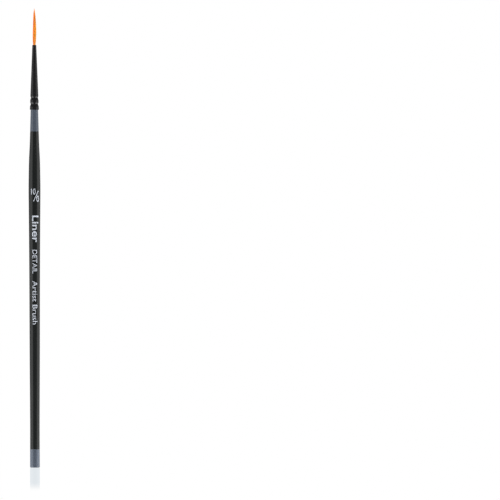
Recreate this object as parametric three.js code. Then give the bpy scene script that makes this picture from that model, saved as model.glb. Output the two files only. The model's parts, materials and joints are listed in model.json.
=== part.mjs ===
// A fine detail brush: a script liner of size 10/0 with a short lacquered handle.
//
// Millimetres, +Z up. The brush stands on its handle: the origin is the centre of the flat
// butt end, and +Z runs along the handle, through the ferrule, to the point of the hair.
//
// From the outside in, the pieces are three lacquer coats on a turned wooden core, a seamless
// ferrule crimped and glued on the core's tenon, and a tuft of hair whose tied root is set in
// resin inside the ferrule. The free hair bends, so it is a chain of short lengths that meet
// at pivots on the axis.

import * as THREE from "three";

// ---- Driving dimensions ----

const HANDLE_TOP = 145.2; // top of the painted neck, hidden in the ferrule's skirt
const FERRULE_END = 144.2; // the ferrule's wide end, over the neck
const FERRULE_LENGTH = 26.1;
const HAIR_LENGTH = 14.7; // free length, from the ferrule's mouth to the point

// The handle's outside, as [height, radius]: butt, slim tail, belly, swell and neck.
const HANDLE_STATIONS = [
  [0, 1.93],
  [9, 1.925],
  [17, 1.915],
  [30, 1.975],
  [50, 2.075],
  [68, 2.12],
  [84, 2.185],
  [100, 2.29],
  [111.5, 2.385],
  [117, 2.335],
  [122.5, 2.235],
  [126, 2.11],
  [129.2, 1.94],
  [135.4, 1.735],
  [HANDLE_TOP, 1.48],
];
const STEPS_PER_STATION = 2;

const NECK_BAND_LOW = 135.4; // where the black coat meets the grey neck
const END_DIP_HIGH = 7.4; // where the black coat meets the grey butt
const COAT = 0.15; // thickness of the lacquer
const END_DIP_PROUD = 0.015; // the butt was dipped last, over the black coat
const BUTT_EDGE = 0.3; // rounding of the butt's rim
const COAT_GAP = 0.02; // clearance between pieces that touch

const MOUTH_RADIUS = 0.8;
const SKIRT_RADIUS = 1.82;
const FERRULE_WALL = 0.25;
const MOUTH_ROUNDING = 0.3;
// A crimp is a V-shaped groove: how far it lies below the mouth, how deep it is, and how far its
// two sides reach, towards the hair and towards the handle.
const CRIMPS = [
  { below: 21.33, depth: 0.215, hairSide: 0.82, handleSide: 1 },
  { below: 23.83, depth: 0.265, hairSide: 0.82, handleSide: 1.15 },
];
const CRIMP_STEPS = 4; // along each side

const TENON_TOP = 157;
const GLUE_LINE = 0.1;
const GLUE_LOW = 145.6;

const RESIN_LOW = 160.3;
const RESIN_HIGH = 168;
const RESIN_FLOOR = 0.97; // resin below the ends of the hair

const ROOT_RADIUS = 0.52;
const WAIST_RADIUS = 0.48; // where the thread draws the root in
const THREAD_RADIUS = 0.075;
const THREAD_TURNS = 3;
const THREAD_PITCH = 0.19;
const THREAD_LOW = 163.36; // middle of the first turn
const THREAD_POCKET = 0.33; // room in the resin above and below the coil

// The free tuft's outside, as [height above the mouth, radius].
const TUFT_STATIONS = [
  [0, 0.52],
  [1.6, 0.595],
  [3.4, 0.64],
  [5.1, 0.665],
  [7, 0.635],
  [9.2, 0.55],
  [11.4, 0.425],
  [12.8, 0.3],
  [14, 0.14],
  [HAIR_LENGTH, 0.015],
];

// The lengths of hair between pivots, from the ferrule outwards.
const HAIR_LENGTHS = [
  "hair_heel",
  "hair_lower_belly",
  "hair_mid_belly",
  "hair_upper_belly",
  "hair_shoulder",
  "hair_point",
];
const FIRST_PIVOT = 0.5; // height of the first pivot above the mouth
const PIVOT_PITCH = 2.2;
const PIVOT_GAP = 0.03; // from a pivot to the tip of each cone that meets there
const PIVOT_CONE = THREE.MathUtils.degToRad(14); // two cones meet, so a pivot has twice this

const TURNED_SIDES = 24;
const HAIR_SIDES = 16;
const THREAD_SIDES = 8;

const MOUTH = FERRULE_END + FERRULE_LENGTH;

// ---- Materials ----

const finish = (color, roughness, metalness = 0) =>
  new THREE.MeshStandardMaterial({ color, roughness, metalness });

const BIRCH = finish(0xd9bf94, 0.7);
const BLACK_LACQUER = finish(0x1b1c1c, 0.3);
const GREY_LACQUER = finish(0x5d6474, 0.32);
const BLACK_METAL = finish(0x202121, 0.28, 0.6);
const GLUE = finish(0xe2d9b8, 0.5);
const RESIN = finish(0xc79a4b, 0.2);
const THREAD = finish(0xe9e4d6, 0.9);
const HAIR = finish(0xf0892d, 0.45);

// ---- Outlines ----

// An outline is a list of [height, radius] from low to high, joined by straight steps. Pieces
// that nest share one outline, so that the clearance between them is the same all along.

const smoothOutline = (stations, steps) =>
  new THREE.SplineCurve(stations.map(([z, r]) => new THREE.Vector2(z, r)))
    .getPoints((stations.length - 1) * steps)
    .map(({ x, y }) => [x, y]);

function radiusAt(outline, height) {
  const next = outline.findIndex(([z]) => z >= height);
  if (next <= 0) return outline[0][1];
  const [z0, r0] = outline[next - 1];
  const [z1, r1] = outline[next];
  return THREE.MathUtils.mapLinear(height, z0, z1, r0, r1);
}

// The stretch of an outline between two heights, with offset added to its radius.
function stretch(outline, low, high, offset = 0) {
  const between = outline.filter(([z]) => z > low && z < high);
  return [
    [low, radiusAt(outline, low)],
    ...between,
    [high, radiusAt(outline, high)],
  ].map(([z, r]) => [z, r + offset]);
}

// The ferrule is one straight taper, with a groove rolled in at each crimp. A groove's sides
// are steepest at its bottom and run out smoothly, so the wall bulges between two grooves.
function ferruleRadius(height) {
  const below = MOUTH - height;
  const taper = THREE.MathUtils.lerp(MOUTH_RADIUS, SKIRT_RADIUS, below / FERRULE_LENGTH);
  const grooves = CRIMPS.map((crimp) => {
    const away = below - crimp.below;
    const reach = away < 0 ? crimp.hairSide : crimp.handleSide;
    return crimp.depth * Math.max(1 - Math.abs(away) / reach, 0) ** 2;
  });
  return taper - Math.max(...grooves);
}

function ferruleOutline() {
  const heights = [FERRULE_END, MOUTH - MOUTH_ROUNDING];
  for (const { below, hairSide, handleSide } of CRIMPS) {
    for (let step = -CRIMP_STEPS; step <= CRIMP_STEPS; step++) {
      const reach = step < 0 ? hairSide : handleSide;
      heights.push(MOUTH - below - (reach * step) / CRIMP_STEPS);
    }
  }
  return heights.sort((a, b) => a - b).map((z) => [z, ferruleRadius(z)]);
}

const handleOutline = smoothOutline(HANDLE_STATIONS, STEPS_PER_STATION);
const ferruleOutside = ferruleOutline();
const boreOutline = [
  ...ferruleOutside.map(([z, r]) => [z, r - FERRULE_WALL]),
  [MOUTH, MOUTH_RADIUS - FERRULE_WALL],
];
const tuftOutline = smoothOutline(TUFT_STATIONS, 2);

// ---- Solids ----

// A solid of revolution. Its profile runs round the section anticlockwise, as [height, radius]:
// from the axis up to the axis, or closed on itself for a sleeve.
function turned(name, profile, material, sides = TURNED_SIDES) {
  const points = profile.map(([z, r]) => new THREE.Vector2(r, z));
  const geometry = new THREE.LatheGeometry(points, sides).rotateX(Math.PI / 2);
  const mesh = new THREE.Mesh(geometry, material);
  mesh.name = name;
  return mesh;
}

// A sleeve between an outer and an inner stretch of outline.
const sleeve = (name, outside, inside, material) =>
  turned(name, [...outside, ...inside.toReversed(), outside[0]], material);

const onAxis = (height) => [height, 0];

// The wooden core: it fills the lacquer coats, and its tenon follows the crimped bore.
function handleCore() {
  const coats = COAT + COAT_GAP;
  const painted = stretch(handleOutline, BUTT_EDGE + coats, HANDLE_TOP, -coats);
  const neckRadius = painted.at(-1)[1];
  const tenon = stretch(boreOutline, HANDLE_TOP + COAT_GAP, TENON_TOP, -GLUE_LINE - 2 * COAT_GAP);
  const top = TENON_TOP + COAT_GAP;
  return turned(
    "handle_core",
    [
      onAxis(coats + COAT_GAP),
      [coats + COAT_GAP, painted[0][1] - BUTT_EDGE],
      ...painted,
      ...tenon.map(([z, r]) => [z, Math.min(r, neckRadius)]),
      [top + BUTT_EDGE, tenon.at(-1)[1] - BUTT_EDGE],
      onAxis(top + BUTT_EDGE),
    ],
    BIRCH,
  );
}

function bodyLacquer() {
  const low = END_DIP_HIGH + COAT_GAP;
  const high = NECK_BAND_LOW - COAT_GAP;
  return sleeve(
    "body_lacquer",
    stretch(handleOutline, low, high),
    stretch(handleOutline, low, high, -COAT),
    BLACK_LACQUER,
  );
}

function neckLacquer() {
  return sleeve(
    "neck_lacquer",
    stretch(handleOutline, NECK_BAND_LOW, HANDLE_TOP),
    stretch(handleOutline, NECK_BAND_LOW, HANDLE_TOP, -COAT),
    GREY_LACQUER,
  );
}

// The butt's coat is a cup with a flat floor, which the brush can stand on.
function endLacquer() {
  const floor = COAT + COAT_GAP;
  const outside = stretch(handleOutline, BUTT_EDGE, END_DIP_HIGH, END_DIP_PROUD);
  const inside = stretch(handleOutline, BUTT_EDGE + floor, END_DIP_HIGH, -COAT);
  const rim = outside[0][1] - BUTT_EDGE;
  const roundedEdge = [0, 0.25, 0.5, 0.75].map((share) => {
    const turn = (share * Math.PI) / 2;
    return [BUTT_EDGE * (1 - Math.cos(turn)), rim + BUTT_EDGE * Math.sin(turn)];
  });
  return turned(
    "end_lacquer",
    [
      onAxis(0),
      ...roundedEdge,
      ...outside,
      ...inside.toReversed(),
      [floor, inside[0][1] - BUTT_EDGE],
      onAxis(floor),
    ],
    GREY_LACQUER,
  );
}

// A seamless tube whose wall is the same all along, with a rounded mouth.
function ferrule() {
  const lip = ferruleOutside.at(-1)[1];
  const outside = [
    ...ferruleOutside,
    [MOUTH - MOUTH_ROUNDING * 0.3, lip - MOUTH_ROUNDING * 0.25],
    [MOUTH, lip - MOUTH_ROUNDING * 0.75],
  ];
  return sleeve("ferrule", outside, boreOutline, BLACK_METAL);
}

// The film of glue that holds the tenon, from inside the skirt to the tenon's end.
function tenonGlue() {
  const outside = stretch(boreOutline, GLUE_LOW, TENON_TOP - COAT_GAP, -COAT_GAP);
  const neckRadius = radiusAt(handleOutline, HANDLE_TOP) - COAT - COAT_GAP;
  const inside = outside.map(([z, r]) => [
    z,
    Math.min(r - GLUE_LINE, neckRadius + COAT_GAP),
  ]);
  return sleeve("tenon_glue", outside, inside, GLUE);
}

// Resin fills the bore round the hair's root, and the thread lies in a pocket in it.
function resinPlug() {
  const bore = stretch(boreOutline, RESIN_LOW, RESIN_HIGH, -COAT_GAP);
  const hole = ROOT_RADIUS + COAT_GAP;
  const pocket = WAIST_RADIUS + 2 * THREAD_RADIUS + 2 * COAT_GAP;
  const pocketLow = THREAD_LOW - THREAD_POCKET;
  const pocketHigh = THREAD_LOW + THREAD_TURNS * THREAD_PITCH + THREAD_POCKET;
  const floor = RESIN_LOW + RESIN_FLOOR;
  return turned(
    "resin_plug",
    [
      onAxis(RESIN_LOW),
      ...bore,
      [RESIN_HIGH, hole],
      [pocketHigh, hole],
      [pocketHigh, pocket],
      [pocketLow, pocket],
      [pocketLow, hole],
      [floor, hole],
      onAxis(floor),
    ],
    RESIN,
  );
}

class Helix extends THREE.Curve {
  getPoint(share, target = new THREE.Vector3()) {
    const turn = share * THREAD_TURNS * 2 * Math.PI;
    const radius = WAIST_RADIUS + THREAD_RADIUS + COAT_GAP;
    const height = THREAD_LOW + share * THREAD_TURNS * THREAD_PITCH;
    return target.set(radius * Math.cos(turn), radius * Math.sin(turn), height);
  }
}

// The thread is wound round the root to tie the hair in a bundle before it goes in the ferrule.
function bindingThread() {
  const section = new THREE.Shape().absarc(0, 0, THREAD_RADIUS, 0, 2 * Math.PI);
  const geometry = new THREE.ExtrudeGeometry(section, {
    curveSegments: THREAD_SIDES,
    steps: THREAD_TURNS * HAIR_SIDES,
    extrudePath: new Helix(),
    bevelEnabled: false,
  });
  const mesh = new THREE.Mesh(geometry, THREAD);
  mesh.name = "binding_thread";
  return mesh;
}

const pivotHeight = (index) => MOUTH + FIRST_PIVOT + index * PIVOT_PITCH;

// How far a length's rim stands back from its pivot, so that it can swing.
const setBack = (radius) => PIVOT_GAP + radius * Math.tan(PIVOT_CONE);

// The bound root, from the resin to the first pivot. It doesn't move.
function hairRoot() {
  const low = RESIN_LOW + RESIN_FLOOR + COAT_GAP;
  const coil = THREAD_TURNS * THREAD_PITCH;
  const slope = ROOT_RADIUS - WAIST_RADIUS;
  const waistLow = THREAD_LOW - THREAD_RADIUS - COAT_GAP;
  const waistHigh = THREAD_LOW + coil + THREAD_RADIUS + COAT_GAP;
  return turned(
    "hair_root",
    [
      onAxis(low),
      [low, ROOT_RADIUS],
      [waistLow - slope, ROOT_RADIUS],
      [waistLow, WAIST_RADIUS],
      [waistHigh, WAIST_RADIUS],
      [waistHigh + slope, ROOT_RADIUS],
      [pivotHeight(0) - setBack(ROOT_RADIUS), ROOT_RADIUS],
      onAxis(pivotHeight(0) - PIVOT_GAP),
    ],
    HAIR,
    HAIR_SIDES,
  );
}

// One length of free hair, with a cone at each pivot. The last one ends in the brush's point.
function hairLength(name, index) {
  const last = index === HAIR_LENGTHS.length - 1;
  const low = pivotHeight(index);
  const high = last ? MOUTH + HAIR_LENGTH : pivotHeight(index + 1);
  const tuft = tuftOutline.map(([z, r]) => [z + MOUTH, r]);
  const lowRim = low + setBack(radiusAt(tuft, low));
  const highRim = last ? high : high - setBack(radiusAt(tuft, high));
  return turned(
    name,
    [
      onAxis(low + PIVOT_GAP),
      ...stretch(tuft, lowRim, highRim),
      onAxis(last ? high : high - PIVOT_GAP),
    ],
    HAIR,
    HAIR_SIDES,
  );
}

// ---- Assembly ----

const handle = new THREE.Group();
handle.add(handleCore(), bodyLacquer(), neckLacquer(), endLacquer());

const head = new THREE.Group();
head.add(ferrule(), tenonGlue(), resinPlug(), bindingThread(), hairRoot());

const tuft = new THREE.Group();
tuft.add(...HAIR_LENGTHS.map(hairLength));

const brush = new THREE.Group();
brush.add(handle, head, tuft);

export default brush;
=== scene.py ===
"""The looks of a fine detail brush, built round its CAD frame.

The frame gives every place and outline, in metres: +Z runs from the butt to the point of the
hair, and the print faces -Y. Sizes that are named here are in millimetres, and MM makes metres
of them. Each CAD node is replaced by a finer piece of the same shape; the pieces round the
handle and the hair bound in it ride on the handle's body, and the hair's lengths above the
mouth on none. The studio is in metres.
"""

import json
import math
import random
from bisect import bisect_right

import bmesh
import bpy
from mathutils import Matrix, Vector


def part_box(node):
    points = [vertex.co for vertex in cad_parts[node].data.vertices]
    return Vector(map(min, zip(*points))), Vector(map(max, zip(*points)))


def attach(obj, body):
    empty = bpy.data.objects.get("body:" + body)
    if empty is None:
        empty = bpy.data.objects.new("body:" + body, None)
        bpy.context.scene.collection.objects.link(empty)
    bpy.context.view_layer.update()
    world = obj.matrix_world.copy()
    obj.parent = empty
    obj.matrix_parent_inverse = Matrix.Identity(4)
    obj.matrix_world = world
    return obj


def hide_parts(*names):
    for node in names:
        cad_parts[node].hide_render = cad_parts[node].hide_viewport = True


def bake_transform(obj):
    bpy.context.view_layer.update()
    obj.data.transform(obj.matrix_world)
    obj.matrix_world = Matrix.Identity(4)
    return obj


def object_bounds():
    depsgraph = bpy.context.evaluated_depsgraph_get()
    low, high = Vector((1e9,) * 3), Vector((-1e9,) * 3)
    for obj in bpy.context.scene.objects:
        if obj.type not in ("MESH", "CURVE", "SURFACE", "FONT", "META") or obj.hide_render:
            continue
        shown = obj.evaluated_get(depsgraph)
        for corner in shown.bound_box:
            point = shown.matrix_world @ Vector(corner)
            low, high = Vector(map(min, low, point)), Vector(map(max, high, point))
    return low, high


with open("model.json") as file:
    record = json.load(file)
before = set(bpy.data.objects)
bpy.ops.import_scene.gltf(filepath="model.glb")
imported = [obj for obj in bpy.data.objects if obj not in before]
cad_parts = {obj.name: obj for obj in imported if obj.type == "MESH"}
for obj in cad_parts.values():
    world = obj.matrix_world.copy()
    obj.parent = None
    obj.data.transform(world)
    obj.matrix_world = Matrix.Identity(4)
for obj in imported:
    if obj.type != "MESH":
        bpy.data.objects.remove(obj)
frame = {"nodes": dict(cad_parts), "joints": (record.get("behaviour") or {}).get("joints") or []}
cad_low, cad_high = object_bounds()

MM = 0.001
TINY = 1e-6  # metres
DECIMALS = 7  # that the frame's places are rounded to, in metres, so that equal ones match

# ---- Sizes, in millimetres unless they say otherwise ----

COAT_SIDES = 96  # round each coat of lacquer
COAT_SPACING = 0.8  # between the points of its outline
HIDDEN_SIDES = 64  # round each piece inside the brush
HIDDEN_SPACING = 0.3
FERRULE_SIDES = 144
FERRULE_SPACING = 0.12

COAT_EDGE = 0.05  # rounding where a coat of lacquer ends
METAL_EDGE = 0.06
EDGE_SEGMENTS = 3
CORNER = math.radians(50)  # an outline that turns by more than this has a sharp corner there
SHARP = 40  # degrees: an edge that turns by more than this looks sharp, and may be rounded
LONG_STRETCH = 3  # an outline's stretch is long if it is this many times its neighbour

LIP = 0.1  # nearer its mouth than this, the ferrule's outline isn't part of its taper

JAWS = 6  # the crimping tool's jaws, which leave a dent each
JAW_TURN = math.radians(32)
JAW_BITE = 0.1  # how much deeper a dent is at its middle, as a share of the groove
JAW_SCALLOP = 0.25  # how much wider the groove is there

STRANDS = 300
SEED = 7  # of the strands' chances
STRAND_SIDES = 6
STRAND_CORNER = 75  # degrees: over a side's turn, so that strands look round
STRAND_RADIUS = 0.036
STRAND_TIP = 0.008
STRAND_TAPER = 4.5  # length over which a strand thins to its tip
STRAND_STEP = 0.4  # between a strand's rings
TAPER_POWER = 0.6  # how bluntly strands and the heart end
SWING = (0.02, 0.1)  # least and greatest angle that a strand strays by, in radians
SWING_LENGTH = 1.7  # height over which it strays
GOLDEN_ANGLE = math.pi * (3 - math.sqrt(5))  # from one strand to the next, round the tuft
SHORTEST_LENGTH = 0.05  # a strand isn't carried into a length of hair for less than this
HEART_SIDES = 24
SIDE_LIGHT_REACH = 0.8  # how far from the axis the hair's painted light goes from the deeper -X side to the lighter +X side
SHORTEST = 7.5  # how far below the point the outermost strands may end
FALL_POWER = 2.2  # how steeply the strands' ends fall away from the middle outwards
FALL_SPREAD = (0.6, 1)  # least and greatest share of that fall that a strand has
CLOSING = 0.8  # share of SHORTEST over which the strands draw together to the point
HEART = 0.96  # share of the tuft's radius that its packed heart fills, under the outer strands
HEART_END = 3.0  # how far below the point the heart ends
HEART_TAPER = 4.0
SPREAD = 2.0  # how far above the mouth the outer strands come free of the outline
BELLY_LEAN = 0.118  # the tuft's belly swells to the +X side
BELLY_HEIGHT = 7.0  # above the mouth
BELLY_REACH = 5.0

THREAD_RADIUS = 0.075
THREAD_TURNS = 3
PLY_RADIUS = 0.034  # the thread is twisted from three plies
PLIES = 3
PLY_TWIST = 0.42  # length of one twist
PLY_STEP = 0.05  # between a ply's rings
PLY_SIDES = 8

HEEL_SHARE = 0.42  # how far along the hair the ferrule's mouth is, as the material counts it
MOUTH_SHADE_FADE = 0.08  # how much further on the painted shade by the ferrule's mouth ends
THROUGH = 0.5  # share of the light on the hair that comes through it

FLOOR_GAP = 0.02  # under the brush, so that the two surfaces don't coincide

FONT_CAPITALS = 0.686  # height of the built-in font's capitals at size 1
FONT_STEPS = 6  # in each of its curves
FONT_MERGE = 1e-5  # its points nearer than this, at size 1, are one
PRINT_THICKNESS = 0.012
PRINT_SINK = 0.004
PRINT_SLICE = 0.12  # letters are cut this fine, so that they bend round the handle
PRINT_BASELINE = math.radians(-21)  # where the letters stand, from the front of the handle

# ---- Outlines ----


def section(node):
    """A turned CAD node's outline as (radius, height) points in order, and whether it closes."""
    mesh = frame["nodes"][node].data
    points = {}
    for vertex in mesh.vertices:
        if abs(vertex.co.x) < TINY and vertex.co.y < TINY:
            radius, height = abs(vertex.co.y), vertex.co.z
            points[vertex.index] = (round(radius, DECIMALS), round(height, DECIMALS))
    links = {}
    for edge in mesh.edges:
        if all(index in points for index in edge.vertices):
            a, b = (points[index] for index in edge.vertices)
            if a != b and (a[0] > 0 or b[0] > 0):
                links.setdefault(a, set()).add(b)
                links.setdefault(b, set()).add(a)
    ends = sorted((point for point in links if len(links[point]) == 1), key=lambda p: p[1])
    walk = [ends[0] if ends else min(links, key=lambda p: (p[1], p[0]))]
    while True:
        ahead = [point for point in links[walk[-1]] if point not in walk]
        if not ahead:
            return walk, not ends
        walk.append(max(ahead, key=lambda p: p[0]))


def outside(*nodes):
    """The CAD nodes' greatest radius at each of their heights, as (radius, height) points."""
    radii = {}
    for node in nodes:
        for vertex in frame["nodes"][node].data.vertices:
            height = round(vertex.co.z, DECIMALS)
            radii[height] = max(radii.get(height, 0), math.hypot(vertex.co.x, vertex.co.y))
    return [(radii[height], height) for height in sorted(radii) if radii[height] > TINY]


def on_curve(start, end, leaving, arriving, span, t):
    """The place a share t of the way from start to end, on a smooth curve that leaves and arrives
    at the given rates over a span."""
    ends = start * (1 + 2 * t) * (1 - t) ** 2 + end * t * t * (3 - 2 * t)
    bend = leaving * t * (1 - t) ** 2 - arriving * t * t * (1 - t)
    return ends + bend * span


def smooth(points):
    """Radius as a smooth function of height, through (radius, height) points, which it never
    overshoots."""
    radii, heights = zip(*points)
    spans = [b - a for a, b in zip(heights, heights[1:])]
    rises = [(b - a) / span for a, b, span in zip(radii, radii[1:], spans)]
    slopes = [rises[0]]
    for before, after in zip(rises, rises[1:]):
        slopes.append(2 * before * after / (before + after) if before * after > 0 else 0)
    slopes.append(rises[-1])

    def radius(height):
        i = min(max(bisect_right(heights, height) - 1, 0), len(spans) - 1)
        t = min(max((height - heights[i]) / spans[i], 0), 1)
        return on_curve(radii[i], radii[i + 1], slopes[i], slopes[i + 1], spans[i], t)

    return radius


def turn_at(a, b, c):
    """How far a line turns at b on its way from a to c."""
    return (Vector(b) - Vector(a)).angle(Vector(c) - Vector(b))


def eased(points):
    """The points, with long straight stretches kept straight where short ones meet them."""
    result = [points[0]]
    for i, (a, b) in enumerate(zip(points, points[1:])):
        a, b = Vector(a), Vector(b)
        length = (b - a).length
        before = (a - Vector(points[i - 1])).length if i else length
        after = (Vector(points[i + 2]) - b).length if i + 2 < len(points) else length
        if length > LONG_STRETCH * before:
            result.append(a.lerp(b, before / length))
        if length > LONG_STRETCH * after:
            result.append(b.lerp(a, after / length))
        result.append(b)
    return [Vector(point) for point in result]


def curve_through(points, spacing):
    """Points about spacing apart, on a smooth curve through the given points."""
    points = eased(points)
    spans = [(b - a).length for a, b in zip(points, points[1:])]
    rates = [(b - a) / span for a, b, span in zip(points, points[1:], spans)]
    tangents = [rates[0]]
    for i in range(1, len(rates)):
        total = spans[i - 1] + spans[i]
        tangents.append((rates[i - 1] * spans[i] + rates[i] * spans[i - 1]) / total)
    tangents.append(rates[-1])
    result = [points[0]]
    for i, span in enumerate(spans):
        steps = max(math.ceil(span / spacing), 1)
        curve = (points[i], points[i + 1], tangents[i], tangents[i + 1], span)
        result += [on_curve(*curve, t=step / steps) for step in range(1, steps + 1)]
    return result


def refined(node, spacing):
    """A CAD node's section with its curves smoothed, and its sharp corners kept."""
    walk, closed = section(node)
    if closed:
        walk.append(walk[0])
    corners = [0]
    for i in range(1, len(walk) - 1):
        if turn_at(*walk[i - 1 : i + 2]) > CORNER:
            corners.append(i)
    corners.append(len(walk) - 1)
    result = [Vector(walk[0])]
    for first, last in zip(corners, corners[1:]):
        result += curve_through(walk[first : last + 1], spacing)[1:]
    return result[:-1] if closed else result


# ---- Meshes ----


def mesh_piece(name, mesh_data, material, body=None, replaces=(), sharp=SHARP):
    """A new piece from a bmesh, with its material, its body and the nodes it replaces.
    Edges that turn by more than sharp degrees look sharp."""
    bmesh.ops.recalc_face_normals(mesh_data, faces=mesh_data.faces)
    mesh = bpy.data.meshes.new(name)
    mesh_data.to_mesh(mesh)
    mesh_data.free()
    mesh.shade_smooth()
    mesh.set_sharp_from_angle(angle=math.radians(sharp))
    mesh.materials.append(material)
    piece = bpy.data.objects.new(name, mesh)
    bpy.context.scene.collection.objects.link(piece)
    if body:
        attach(piece, body)
    if replaces:
        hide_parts(*replaces)
    return piece


def turned(profile, sides, shape=None):
    """A bmesh turned round the Z axis from (radius, height) points, which run from axis to axis
    or all round. shape(angle, radius, height) may give a point another radius."""
    bm = bmesh.new()
    rings = []
    for radius, height in profile:
        if radius < TINY:
            rings.append([bm.verts.new((0, 0, height))] * sides)
            continue
        ring = []
        for side in range(sides):
            angle = 2 * math.pi * side / sides
            reach = shape(angle, radius, height) if shape else radius
            ring.append(bm.verts.new((reach * math.sin(angle), -reach * math.cos(angle), height)))
        rings.append(ring)
    if profile[0][0] > TINY:
        rings.append(rings[0])
    for low, high in zip(rings, rings[1:]):
        for side in range(sides):
            after = (side + 1) % sides
            corners = [low[side], low[after], high[after], high[side]]
            bm.faces.new(list(dict.fromkeys(corners)))
    return bm


def round_edges(piece, width):
    """Rounds the piece's sharp edges."""
    bevel = piece.modifiers.new("edges", "BEVEL")
    bevel.width = width * MM
    bevel.segments = EDGE_SEGMENTS
    bevel.angle_limit = math.radians(SHARP)
    bevel.harden_normals = True


def turned_piece(name, node, material, spacing, sides, edge=0, shape=None):
    """A turned CAD node made finer, on the handle, with its sharp edges rounded by edge."""
    mesh_data = turned(refined(node, spacing * MM), sides, shape)
    piece = mesh_piece(name, mesh_data, material, "handle", [node])
    if edge:
        round_edges(piece, edge)


def level_ways(centres):
    """Two ways across a line at each of its points, for rings that lie level."""
    return [(Vector((1, 0, 0)), Vector((0, 1, 0)))] * len(centres)


def square_ways(centres):
    """Two ways across a line at each of its points, both square to it. The first leads away from
    the Z axis."""
    result = []
    for i, centre in enumerate(centres):
        ahead = centres[min(i + 1, len(centres) - 1)] - centres[max(i - 1, 0)]
        outward = Vector((centre.x, centre.y, 0)).normalized()
        up = ahead.cross(outward).normalized()
        result.append((up.cross(ahead).normalized(), up))
    return result


def add_tube(bm, centres, radii, sides, ways):
    """Adds a closed tube along centres, with a ring at each that lies in its two ways. It returns
    its rings of vertices."""
    rings = []
    for centre, radius, (across, up) in zip(centres, radii, ways):
        ring = []
        for side in range(sides):
            angle = 2 * math.pi * side / sides
            offset = across * (radius * math.cos(angle)) + up * (radius * math.sin(angle))
            ring.append(bm.verts.new(centre + offset))
        rings.append(ring)
    for low, high in zip(rings, rings[1:]):
        for side in range(sides):
            after = (side + 1) % sides
            bm.faces.new((low[side], low[after], high[after], high[side]))
    bm.faces.new(rings[0][::-1])
    bm.faces.new(rings[-1])
    return rings


# ---- Materials ----


class Graph:
    """Shader nodes in a tree, each joined up as it is made."""

    def __init__(self, tree):
        self.tree = tree
        tree.nodes.clear()

    def node(self, kind, inputs, **settings):
        """A new node's outputs. inputs gives its sockets values, or other nodes' outputs."""
        node = self.tree.nodes.new("ShaderNode" + kind)
        for name, value in settings.items():
            setattr(node, name, value)
        for socket, value in inputs.items():
            if isinstance(value, bpy.types.NodeSocket):
                self.tree.links.new(value, node.inputs[socket])
            else:
                node.inputs[socket].default_value = value
        return node.outputs

    def ramp(self, factor, *stops):
        """A colour for each value of factor, from (value, colour) stops."""
        outputs = self.node("ValToRGB", {"Fac": factor})
        elements = outputs[0].node.color_ramp.elements
        while len(elements) < len(stops):
            elements.new(0.5)
        for element, (position, colour) in zip(elements, stops):
            element.position = position
            element.color = (*colour, 1)
        return outputs["Color"]


class Surface(Graph):
    """A procedural material. Its patterns are fixed to the piece, or to the places that an
    attribute of its mesh gives."""

    def __init__(self, name, places=None):
        self.material = bpy.data.materials.new(name)
        self.material.use_nodes = True
        super().__init__(self.material.node_tree)
        if places:
            self.place = self.attribute(places, "Vector")
        else:
            self.place = self.node("TexCoord", {})["Object"]
        self.relief = {}

    def noise(self, grain, detail=2.0, stretch=1.0):
        """Noise from 0 to 1, with grains so many millimetres wide, and longer by stretch."""
        place = self.node("Mapping", {"Vector": self.place, "Scale": (1, 1, 1 / stretch)})[0]
        sizes = {"Vector": place, "Scale": 1 / (grain * MM), "Detail": detail}
        return self.node("TexNoise", sizes)["Fac"]

    def attribute(self, name, output="Fac"):
        """What the mesh holds at each point, as a number or as another of the node's outputs."""
        return self.node("Attribute", {}, attribute_name=name)[output]

    def tinted(self, colour, tint):
        """A colour times a tint."""
        inputs = {"Fac": 1, "Color1": colour, "Color2": tint}
        return self.node("MixRGB", inputs, blend_type="MULTIPLY")["Color"]

    def between(self, factor, low, high):
        """factor, from 0 to 1, as a number from low to high."""
        return self.node("MapRange", {"Value": factor, "To Min": low, "To Max": high})["Result"]

    def emboss(self, height, depth):
        """Adds relief, so many millimetres deep."""
        inputs = {"Height": height, "Distance": depth * MM, **self.relief}
        self.relief = {"Normal": self.node("Bump", inputs)["Normal"]}

    def principled(self, colour, roughness, ior, **weights):
        """A Principled shader with the relief so far."""
        inputs = {"Base Color": colour, "Roughness": roughness, "IOR": ior, **self.relief}
        for name, weight in weights.items():
            inputs[name.replace("_", " ")] = weight
        return self.node("BsdfPrincipled", inputs)["BSDF"]

    def finish(self, shader):
        """The material, once its shader is on the surface."""
        self.node("OutputMaterial", {"Surface": shader})
        return self.material


def lacquer(name, deep, light):
    """Glossy dipped lacquer, faintly uneven, with hairline scratches along the handle."""
    surface = Surface(name)
    tone = surface.noise(grain=3.5, detail=3, stretch=4)
    surface.emboss(surface.noise(grain=1.6, detail=1, stretch=3), depth=0.0012)
    surface.emboss(surface.noise(grain=0.05, detail=2, stretch=60), depth=0.0003)
    colour = surface.ramp(tone, (0.3, deep), (0.7, light))
    gloss = surface.between(surface.noise(grain=1.2, detail=4, stretch=8), low=0.1, high=0.18)
    return surface.finish(surface.principled(colour, gloss, ior=1.42))


def ferrule_coat():
    """Black coat on drawn metal: glossy, with faint drawing lines and a duller film in patches."""
    surface = Surface("black_ferrule")
    tone = surface.noise(grain=1.4, detail=3)
    surface.emboss(surface.noise(grain=0.9, detail=1, stretch=3), depth=0.0006)
    surface.emboss(surface.noise(grain=0.06, detail=2, stretch=60), depth=0.0003)
    colour = surface.ramp(tone, (0.3, (0.006, 0.006, 0.0063)), (0.75, (0.0085, 0.0085, 0.009)))
    gloss = surface.between(surface.noise(grain=0.7, detail=4, stretch=6), low=0.1, high=0.2)
    return surface.finish(surface.principled(colour, gloss, ior=1.36))


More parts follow.
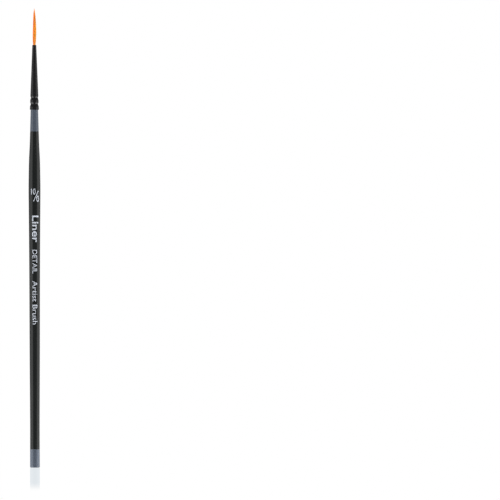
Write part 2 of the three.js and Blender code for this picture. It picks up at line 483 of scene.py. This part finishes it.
def birch():
    """Turned birch: straight pale grain, with darker early wood and fine pores."""
    surface = Surface("birch")
    grain = surface.noise(grain=0.5, detail=5, stretch=30)
    pores = surface.noise(grain=0.09, detail=2, stretch=14)
    surface.emboss(grain, depth=0.02)
    surface.emboss(pores, depth=0.01)
    wood = surface.ramp(grain, (0.35, (0.46, 0.3, 0.15)), (0.6, (0.66, 0.48, 0.28)))
    pitted = surface.ramp(pores, (0.3, (0.6, 0.5, 0.4)), (0.42, (1, 1, 1)))
    colour = surface.tinted(wood, pitted)
    dull = surface.between(grain, low=0.75, high=0.55)
    return surface.finish(surface.principled(colour, dull, ior=1.45))


def dried_glue():
    """Yellowed wood glue with small bubbles."""
    surface = Surface("glue")
    tone = surface.noise(grain=0.7, detail=3)
    surface.emboss(surface.noise(grain=0.15, detail=2), depth=0.02)
    colour = surface.ramp(tone, (0.3, (0.62, 0.5, 0.26)), (0.7, (0.78, 0.7, 0.46)))
    gloss = surface.between(tone, low=0.35, high=0.6)
    return surface.finish(surface.principled(colour, gloss, ior=1.47))


def cured_resin():
    """Amber epoxy, darker where it has soaked into the hair."""
    surface = Surface("resin")
    tone = surface.noise(grain=0.6, detail=4)
    surface.emboss(surface.noise(grain=0.25, detail=2), depth=0.01)
    colour = surface.ramp(tone, (0.25, (0.22, 0.08, 0.012)), (0.75, (0.52, 0.27, 0.05)))
    gloss = surface.between(tone, low=0.08, high=0.25)
    return surface.finish(surface.principled(colour, gloss, ior=1.55, Coat_Weight=0.3))


def cotton():
    """Undyed thread, with fine fibres."""
    surface = Surface("thread")
    fibres = surface.noise(grain=0.03, detail=3)
    surface.emboss(fibres, depth=0.006)
    colour = surface.ramp(fibres, (0.3, (0.6, 0.55, 0.44)), (0.7, (0.86, 0.82, 0.72)))
    dull = surface.between(fibres, low=0.95, high=0.7)
    return surface.finish(surface.principled(colour, dull, ior=1.45, Sheen_Weight=0.4))


def filaments():
    """Golden-orange synthetic hair: each strand has a tone of its own, and light comes through
    from behind. Painted shade makes the heel, and the hair just above the ferrule's mouth, duller
    and redder; painted light makes the +X side lighter and more golden than the -X side. Its
    patterns lie on the hair as it was built, so that they stay put if it bends."""
    surface = Surface("hair", places="rest")
    own = surface.attribute("strand")
    surface.emboss(surface.noise(grain=0.02, detail=2, stretch=20), depth=0.001)
    tones = ((0, (0.96, 0.375, 0.03)), (0.5, (0.97, 0.41, 0.042)), (1, (0.98, 0.455, 0.056)))
    # painted light: the -X side deeper and redder, the +X side lighter and more golden
    sides = ((0.25, (1, 0.88, 0.75)), (0.8, (0.94, 1.15, 1.2)))
    # painted shade: duller and redder at the heel, fading out just above the ferrule's mouth
    lengths = (
        (0.0, (0.7, 0.6, 0.8)),
        (HEEL_SHARE, (0.86, 0.74, 0.95)),
        (HEEL_SHARE + MOUTH_SHADE_FADE, (1, 1, 1)),
    )
    colour = surface.ramp(own, *tones)
    colour = surface.tinted(colour, surface.ramp(surface.attribute("side"), *sides))
    colour = surface.tinted(colour, surface.ramp(surface.attribute("along"), *lengths))
    shine = surface.principled(colour, surface.between(own, low=0.3, high=0.45), ior=1.5)
    through = surface.node("BsdfTranslucent", {"Color": colour})["BSDF"]
    both = surface.node("MixShader", {"Fac": THROUGH, 1: shine, 2: through})["Shader"]
    return surface.finish(both)


def silver_ink():
    """Silver print, thin in places, so that some black shows through."""
    surface = Surface("silver_print")
    wear = surface.noise(grain=0.16, detail=4)
    surface.emboss(wear, depth=0.003)
    tones = ((0.28, (0.14, 0.148, 0.165)), (0.42, (0.45, 0.48, 0.535)), (0.8, (0.56, 0.6, 0.66)))
    colour = surface.ramp(wear, *tones)
    gloss = surface.between(wear, low=0.5, high=0.3)
    return surface.finish(surface.principled(colour, gloss, ior=1.45, Metallic=0.2))


BLACK_LACQUER = lacquer("black_lacquer", (0.007, 0.008, 0.0078), (0.009, 0.01, 0.0098))
GREY_LACQUER = lacquer("grey_lacquer", (0.048, 0.058, 0.075), (0.056, 0.067, 0.086))

# ---- Handle ----


def coat(name, node, material):
    """One coat of lacquer, with a rounded edge where it was dipped to."""
    turned_piece(name, node, material, COAT_SPACING, COAT_SIDES, COAT_EDGE)


coat("body_coat", "body_lacquer", BLACK_LACQUER)
coat("neck_coat", "neck_lacquer", GREY_LACQUER)
coat("butt_coat", "end_lacquer", GREY_LACQUER)

turned_piece(
    "wooden_core", "handle_core", birch(), COAT_SPACING, HIDDEN_SIDES, COAT_EDGE
)

# ---- Ferrule ----

mouth_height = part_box("ferrule")[1].z
ferrule_points = [point for point in outside("ferrule") if point[1] < mouth_height - LIP * MM]
wide_end, lip = ferrule_points[0], ferrule_points[-1]
ferrule_radius = smooth([tuple(point) for point in eased(ferrule_points)])


def taper(height):
    """The ferrule's radius before it was crimped."""
    share = (height - wide_end[1]) / (lip[1] - wide_end[1])
    return wide_end[0] + (lip[0] - wide_end[0]) * share


groove_depth = max(taper(height) - radius for radius, height in ferrule_points)


def crimped(angle, radius, height):
    """Turns the crimps' even grooves into a ring of dents, one for each jaw."""
    if height > lip[1]:
        return radius
    even = max(taper(height) - ferrule_radius(height), 0)
    share = even / groove_depth
    jaw = math.cos(JAWS * (angle - JAW_TURN))
    dented = groove_depth * share ** (1 - JAW_SCALLOP * jaw) * (1 + JAW_BITE * jaw)
    return radius + even - dented


turned_piece(
    "ferrule_tube",
    "ferrule",
    ferrule_coat(),
    FERRULE_SPACING,
    FERRULE_SIDES,
    METAL_EDGE,
    shape=crimped,
)
turned_piece("tenon_glue_film", "tenon_glue", dried_glue(), HIDDEN_SPACING, HIDDEN_SIDES)
turned_piece("resin_cup", "resin_plug", cured_resin(), HIDDEN_SPACING, HIDDEN_SIDES)

# ---- Thread ----


def thread():
    """Three plies twisted together and wound round the root of the hair."""
    low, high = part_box("binding_thread")
    radius = high.x - THREAD_RADIUS * MM
    bottom, top = low.z + THREAD_RADIUS * MM, high.z - THREAD_RADIUS * MM
    length = THREAD_TURNS * 2 * math.pi * radius
    steps = int(length / (PLY_STEP * MM))
    bm = bmesh.new()
    for ply in range(PLIES):
        centres = []
        for step in range(steps + 1):
            share = step / steps
            turn = 2 * math.pi * THREAD_TURNS * share
            twist = 2 * math.pi * (share * length / (PLY_TWIST * MM) + ply / PLIES)
            away = radius + PLY_RADIUS * MM * math.cos(twist)
            height = bottom + (top - bottom) * share + PLY_RADIUS * MM * math.sin(twist)
            centres.append(Vector((away * math.cos(turn), away * math.sin(turn), height)))
        radii = [PLY_RADIUS * MM] * len(centres)
        add_tube(bm, centres, radii, PLY_SIDES, square_ways(centres))
    mesh_piece("twisted_thread", bm, cotton(), "handle", ["binding_thread"])


thread()

# ---- Tuft ----

HAIR_NODES = {
    "handle": "hair_root",
    "heel": "hair_heel",
    "lower_belly": "hair_lower_belly",
    "mid_belly": "hair_mid_belly",
    "upper_belly": "hair_upper_belly",
    "shoulder": "hair_shoulder",
    "point": "hair_point",
}
root_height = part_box("hair_root")[0].z
point_height = cad_high.z
tuft_radius = smooth(outside(*HAIR_NODES.values()))


def middle(height):
    """The tuft's centre at a height."""
    above = (height - mouth_height) / MM
    lean = BELLY_LEAN * MM * math.exp(-(((above - BELLY_HEIGHT) / BELLY_REACH) ** 2))
    return Vector((lean, 0, height))


def thinned(left, taper_length):
    """How thick a strand is, from 0 to 1, with so much left of it above."""
    return min(max(left, 0) / (taper_length * MM), 1) ** TAPER_POWER


class Strand:
    """One filament, from its end in the resin to its own tip."""

    sides = STRAND_SIDES

    def __init__(self, number, dice):
        self.rank = math.sqrt((number + 0.5) / STRANDS)  # from the middle, 0, to the outside, 1
        self.angle = number * GOLDEN_ANGLE
        self.swing = dice.uniform(*SWING)
        self.phase = dice.uniform(0, 2 * math.pi)
        self.tone = dice.random()
        fall = self.rank**FALL_POWER * dice.uniform(*FALL_SPREAD)
        self.end = point_height - SHORTEST * MM * fall

    def centre(self, height):
        """Where the strand is at a height: inside the tuft's outline, in its own place."""
        below = max(point_height - height, TINY) / (CLOSING * SHORTEST * MM)
        widest = min(below ** (1 / FALL_POWER), 1)
        share = min(self.rank / widest, 1)
        free = min(max((height - mouth_height) / (SPREAD * MM), 0), 1)
        reach = share * max(tuft_radius(height) + (2 * free - 1) * self.radius(height), 0)
        angle = self.angle + self.swing * math.sin(height / (SWING_LENGTH * MM) + self.phase)
        return middle(height) + Vector((reach * math.sin(angle), -reach * math.cos(angle), 0))

    def radius(self, height):
        """How thick the strand is at a height."""
        share = thinned(self.end - height, STRAND_TAPER)
        return (STRAND_TIP + (STRAND_RADIUS - STRAND_TIP) * share) * MM


class Heart:
    """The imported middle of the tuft, where single strands can't be told apart."""

    sides = HEART_SIDES
    tone = 0.5
    end = point_height - HEART_END * MM
    centre = staticmethod(middle)

    def radius(self, height):
        """How thick the heart is at a height."""
        share = thinned(self.end - height, HEART_TAPER)
        return HEART * tuft_radius(height) * share + STRAND_TIP * MM


dice = random.Random(SEED)
strands = [Heart()] + [Strand(number, dice) for number in range(STRANDS)]


def strand_lengths(low, high):
    """The strands' lengths between two heights, with numbers for the material at each point."""
    bm = bmesh.new()
    numbers = {name: bm.verts.layers.float.new(name) for name in ("strand", "side", "along")}
    rest = bm.verts.layers.float_vector.new("rest")
    for strand in strands:
        top = min(high, strand.end)
        if top - low < SHORTEST_LENGTH * MM:
            continue
        steps = max(math.ceil((top - low) / (STRAND_STEP * MM)), 1)
        heights = [low + (top - low) * step / steps for step in range(steps + 1)]
        centres = [strand.centre(height) for height in heights]
        radii = [strand.radius(height) for height in heights]
        rings = add_tube(bm, centres, radii, strand.sides, level_ways(centres))
        for ring, centre in zip(rings, centres):
            for vertex in ring:
                vertex[rest] = vertex.co
                vertex[numbers["strand"]] = strand.tone
                # where a point lies between the hair's painted deeper -X side and painted lighter
                # +X side
                vertex[numbers["side"]] = 0.5 + vertex.co.x / (2 * SIDE_LIGHT_REACH * MM)
                # how far along the hair a point is, for the painted shade by the ferrule's mouth
                above = (centre.z - mouth_height) / (point_height - mouth_height)
                along = HEEL_SHARE + (1 - HEEL_SHARE) * above
                vertex[numbers["along"]] = min(max(along, 0), 1)
    return bm


def tuft():
    """The hair in lengths that meet halfway between pivots, with one pivot in each."""
    hair = filaments()
    bound = strand_lengths(root_height, mouth_height)
    mesh_piece("bound_hair", bound, hair, "handle", ["hair_root"], STRAND_CORNER)
    bodies = list(HAIR_NODES)
    heights = {joint["child"]: joint["pos_m"][2] for joint in frame["joints"]}
    pivots = [heights[body] for body in bodies[1:]]
    halfway = [(a + b) / 2 for a, b in zip(pivots, pivots[1:])]
    cuts = [mouth_height, *halfway, point_height]
    for below, body, pivot, low, high in zip(bodies, bodies[1:], pivots, cuts, cuts[1:]):
        length = strand_lengths(low, high)
        nodes = [HAIR_NODES[body]]
        piece = mesh_piece(
            f"{body}_hair", length, hair, replaces=nodes, sharp=STRAND_CORNER
        )
        if body == bodies[-1]:  # for the last length, high is as far past its pivot as low is before it
            high = min(high, 2 * pivot - low)
        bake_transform(piece)


tuft()

# ---- Print ----

SILVER = silver_ink()
handle_radius = smooth(outside("body_lacquer"))
SIZE_FIGURES = (  # each one's text, left side, foot, width and height
    ("10", -1.35, 110.0, 1.85, 2.4),
    ("0", 0.85, 107.15, 1.2, 2.4),
)
SIZE_SLASH = Vector((-0.35, 107.2)), Vector((1.7, 111.5))  # from its foot to its top
SLASH_WIDTH = 0.24


def flat_text(words, cap_height, weight=0.0):
    """Raised letters as a bmesh, lying in the XY plane, with the baseline on the X axis."""
    curve = bpy.data.curves.new(words, "FONT")
    curve.body = words
    curve.size = 1
    curve.offset = weight
    curve.extrude = 1  # of no matter, since the print's own thickness takes its place below
    curve.resolution_u = FONT_STEPS
    letters = bpy.data.objects.new(words, curve)
    bpy.context.scene.collection.objects.link(letters)
    bpy.context.view_layer.update()
    mesh = bpy.data.meshes.new_from_object(letters)
    bpy.data.objects.remove(letters)
    bm = bmesh.new()
    bm.from_mesh(mesh)
    bpy.data.meshes.remove(mesh)
    bmesh.ops.remove_doubles(bm, verts=bm.verts, dist=FONT_MERGE)
    scale = cap_height * MM / FONT_CAPITALS
    for vertex in bm.verts:
        vertex.co.x *= scale
        vertex.co.y *= scale
        vertex.co.z = (PRINT_THICKNESS if vertex.co.z > 0 else -PRINT_SINK) * MM
    return bm


def sliced(bm, axis):
    """Cuts the letters into narrow strips across an axis, so that they can bend along it."""
    low = min(vertex.co[axis] for vertex in bm.verts)
    high = max(vertex.co[axis] for vertex in bm.verts)
    normal = Vector((axis == 0, axis == 1, 0))
    steps = math.ceil((high - low) / (PRINT_SLICE * MM))
    for step in range(1, steps):
        bmesh.ops.bisect_plane(
            bm,
            geom=bm.verts[:] + bm.edges[:] + bm.faces[:],
            plane_co=normal * (low + (high - low) * step / steps),
            plane_no=normal,
        )
    bmesh.ops.triangulate(bm, faces=bm.faces)
    return bm


def on_handle(angle, height, lift):
    """A point on the handle, at an angle from its front."""
    reach = handle_radius(height) + lift
    return Vector((reach * math.sin(angle), -reach * math.cos(angle), height))


def fitted(bm, width):
    """The letters stretched along their line to a width, from X = 0."""
    low = min(vertex.co.x for vertex in bm.verts)
    high = max(vertex.co.x for vertex in bm.verts)
    for vertex in bm.verts:
        vertex.co.x = (vertex.co.x - low) / (high - low) * width * MM
    return bm


def words_along(name, words, top, bottom, cap_height, weight=0.0):
    """Words that read down the handle between two heights, with their tops to the +X side."""
    bm = sliced(fitted(flat_text(words, cap_height, weight), top - bottom), axis=1)
    for vertex in bm.verts:
        height = top * MM - vertex.co.x
        angle = PRINT_BASELINE + vertex.co.y / handle_radius(height)
        vertex.co = on_handle(angle, height, vertex.co.z)
    mesh_piece(name, bm, SILVER, "handle")


words_along("print_large", "Liner", top=101.5, bottom=90.7, cap_height=2.6, weight=0.012)
words_along("print_capitals", "DETAIL", top=87.7, bottom=78.2, cap_height=1.9, weight=-0.003)
words_along("print_small", "Artist Brush", top=75.2, bottom=57.7, cap_height=1.95)


def add_slash(bm, low, high, width):
    """A raised stroke between two points, in millimetres."""
    across = Vector((high - low).orthogonal()).normalized() * width / 2
    corners = [low - across, low + across, high + across, high - across]
    faces = []
    for lift in (-PRINT_SINK, PRINT_THICKNESS):
        faces.append([bm.verts.new((c.x * MM, c.y * MM, lift * MM)) for c in corners])
    bottom, top = faces
    bm.faces.new(bottom)
    bm.faces.new(top)
    for i in range(len(corners)):
        after = (i + 1) % len(corners)
        bm.faces.new((bottom[i], bottom[after], top[after], top[i]))


def size_mark():
    """The brush's size, as a slanting fraction: 10 over 0."""
    bm = bmesh.new()
    for words, left, low, wide, tall in SIZE_FIGURES:
        part = flat_text(words, tall)
        fitted(part, wide)
        bmesh.ops.translate(part, verts=part.verts, vec=(left * MM, low * MM, 0))
        mesh = bpy.data.meshes.new("part")
        part.to_mesh(mesh)
        part.free()
        bm.from_mesh(mesh)
        bpy.data.meshes.remove(mesh)
    add_slash(bm, *SIZE_SLASH, SLASH_WIDTH)
    sliced(bm, axis=0)
    for vertex in bm.verts:
        height = vertex.co.y
        vertex.co = on_handle(vertex.co.x / handle_radius(height), height, vertex.co.z)
    mesh_piece("print_size", bm, SILVER, "handle")


size_mark()

# ---- Studio ----

PANEL_LIGHT = 4.5  # how bright the white panels at the brush's sides are, where brightest
ROUND_THE_BRUSH = (  # the share of it from the camera's side to behind the brush, by half turns
    (0.235, 0.075),
    (0.3, 1.0),
    (0.5, 0.8),
    (0.68, 0.3),
    (0.85, 0.03),
)
FROM_BELOW_UP = (  # and the share of that from straight below to straight above
    (0.1, 0.3),
    (0.2, 1.0),
    (0.34, 1.0),
    (0.44, 0.34),
    (0.56, 0.34),
    (0.63, 0.05),
)
STUDIO_TURN = math.radians(7)  # the dark opening for the camera is a little to the +X side


def studio_world():
    """White panels round the brush, with a dark opening for the camera and a dim far wall. The
    camera sees plain white, and so does the floor's mirror image."""
    world = bpy.data.worlds.new("studio")
    bpy.context.scene.world = world
    world.use_nodes = True
    graph = Graph(world.node_tree)
    turned_round = {
        "Vector": graph.node("TexCoord", {})["Generated"],
        "Rotation": (0, 0, math.pi - STUDIO_TURN),
    }
    x, y, z = graph.node("SeparateXYZ", {0: graph.node("Mapping", turned_round)[0]})
    angle = graph.node("Math", {0: x, 1: y}, operation="ARCTAN2")[0]
    angle = graph.node("Math", {0: angle}, operation="ABSOLUTE")[0]
    half_turns = graph.node("MapRange", {"Value": angle, "From Max": math.pi})["Result"]
    height = graph.node("MapRange", {"Value": z, "From Min": -1})["Result"]
    level = graph.ramp(half_turns, *((place, (share,) * 3) for place, share in ROUND_THE_BRUSH))
    upright = graph.ramp(height, *((place, (share,) * 3) for place, share in FROM_BELOW_UP))
    both = {"Fac": 1, "Color1": level, "Color2": upright}
    light = graph.node("MixRGB", both, blend_type="MULTIPLY")["Color"]
    lit = graph.node("Background", {"Color": light, "Strength": PANEL_LIGHT})[0]
    white = graph.node("Background", {"Color": (1, 1, 1, 1)})[0]
    path = graph.node("LightPath", {})
    straight = {0: path["Is Camera Ray"], 1: path["Is Singular Ray"]}
    plain = graph.node("Math", straight, operation="MAXIMUM")[0]
    seen = graph.node("MixShader", {"Fac": plain, 1: lit, 2: white})[0]
    graph.node("OutputWorld", {"Surface": seen})


FLOOR_REACH = 12  # metres from the brush to the floor's edges
MIRROR = (0.27, 0.225, 0.195)  # how much of each colour the floor mirrors under the brush
MIRROR_NEAR = 0.15  # how far from the brush, in metres, the mirror image starts to fade
MIRROR_FAR = 0.24  # and where it ends


def studio_floor():
    """A plain white floor that glows evenly, with a faint mirror image near the brush. What it
    mirrors and what it gives off add up to white, so that only the brush's image shows."""
    bm = bmesh.new()
    bmesh.ops.create_grid(bm, x_segments=1, y_segments=1, size=FLOOR_REACH)
    mesh = bpy.data.meshes.new("floor")
    bm.to_mesh(mesh)
    bm.free()
    floor = bpy.data.objects.new("floor", mesh)
    floor.location.z = -FLOOR_GAP * MM
    bpy.context.scene.collection.objects.link(floor)
    floor.visible_diffuse = False
    floor.visible_glossy = False
    floor.visible_shadow = False
    surface = Surface("floor")
    away = surface.node("VectorMath", {0: surface.place}, operation="LENGTH")["Value"]
    reach = {"Value": away, "From Min": MIRROR_NEAR, "From Max": MIRROR_FAR}
    fade = surface.node("MapRange", reach, interpolation_type="SMOOTHSTEP")["Result"]
    rest = [1 - share for share in MIRROR]
    mirrored = surface.ramp(fade, (0, MIRROR), (1, (0, 0, 0)))
    given_off = surface.ramp(fade, (0, rest), (1, (1, 1, 1)))
    mirror = surface.node("BsdfGlossy", {"Color": mirrored, "Roughness": 0})[0]
    glow = surface.node("Emission", {"Color": given_off})[0]
    both = surface.node("AddShader", {0: mirror, 1: glow})[0]
    mesh.materials.append(surface.finish(both))


def softbox(name, place, target, size, radiance):
    """A square area light at a place, facing a target. It isn't mirrored in the lacquer."""
    light = bpy.data.lights.new(name, "AREA")
    light.size = size
    light.energy = radiance * math.pi * size * size
    lamp = bpy.data.objects.new(name, light)
    lamp.location = place
    lamp.rotation_euler = (Vector(target) - Vector(place)).to_track_quat("-Z", "Y").to_euler()
    lamp.visible_camera = False
    lamp.visible_glossy = False
    bpy.context.scene.collection.objects.link(lamp)


FILLS = (  # where the large soft fills are, in metres
    (-1.0, -0.25, 0.45),
    (1.0, -0.25, 0.45),
    (0.25, -1.1, 0.55),
    (-0.25, 1.1, 0.55),
)
FILL_TARGET = (0, 0, 0.12)
FILL_SIZE = 0.6
FILL_LIGHT = 8  # radiance
LOW_FILLS = ((-0.06, 0, 0.004), (0.06, 0, 0.004))  # where the small ones by the butt are
LOW_TARGET = (0, 0, 0.004)
LOW_SIZE = 0.05
LOW_LIGHT = 9  # radiance


def studio_lamps():
    """Soft fills on all four sides of the brush, and two low, close ones at the sides of the
    butt, for the light that a white table throws back at it."""
    for number, place in enumerate(FILLS):
        softbox(f"fill_{number}", place, FILL_TARGET, FILL_SIZE, FILL_LIGHT)
    for number, place in enumerate(LOW_FILLS):
        softbox(f"low_fill_{number}", place, LOW_TARGET, LOW_SIZE, LOW_LIGHT)


PICTURE_SHARE = 0.918  # of the picture's height that the brush fills
MARGIN_BELOW = 0.0657  # of the picture's height, under the brush
AXIS_FROM_LEFT = 0.0692  # of the picture's width, to the brush's axis
CAMERA_ROLL = math.radians(0.086)  # the brush leans by this much in the picture
CAMERA_DISTANCE = 2.4  # metres
SENSOR = 36  # millimetres


def studio_camera():
    """A long lens level with the brush, which stands near the picture's left edge."""
    side = (point_height - cad_low.z) / PICTURE_SHARE
    camera = bpy.data.cameras.new("camera")
    camera.sensor_width = SENSOR
    camera.lens = SENSOR * CAMERA_DISTANCE / side
    holder = bpy.data.objects.new("camera", camera)
    right = (0.5 - AXIS_FROM_LEFT) * side
    up = (0.5 - MARGIN_BELOW) * side
    holder.location = (right, -CAMERA_DISTANCE, up)
    holder.rotation_euler = (math.pi / 2, CAMERA_ROLL, 0)
    bpy.context.scene.collection.objects.link(holder)
    bpy.context.scene.camera = holder


studio_world()
studio_floor()
studio_lamps()
studio_camera()
bpy.context.scene.view_settings.view_transform = "Standard"
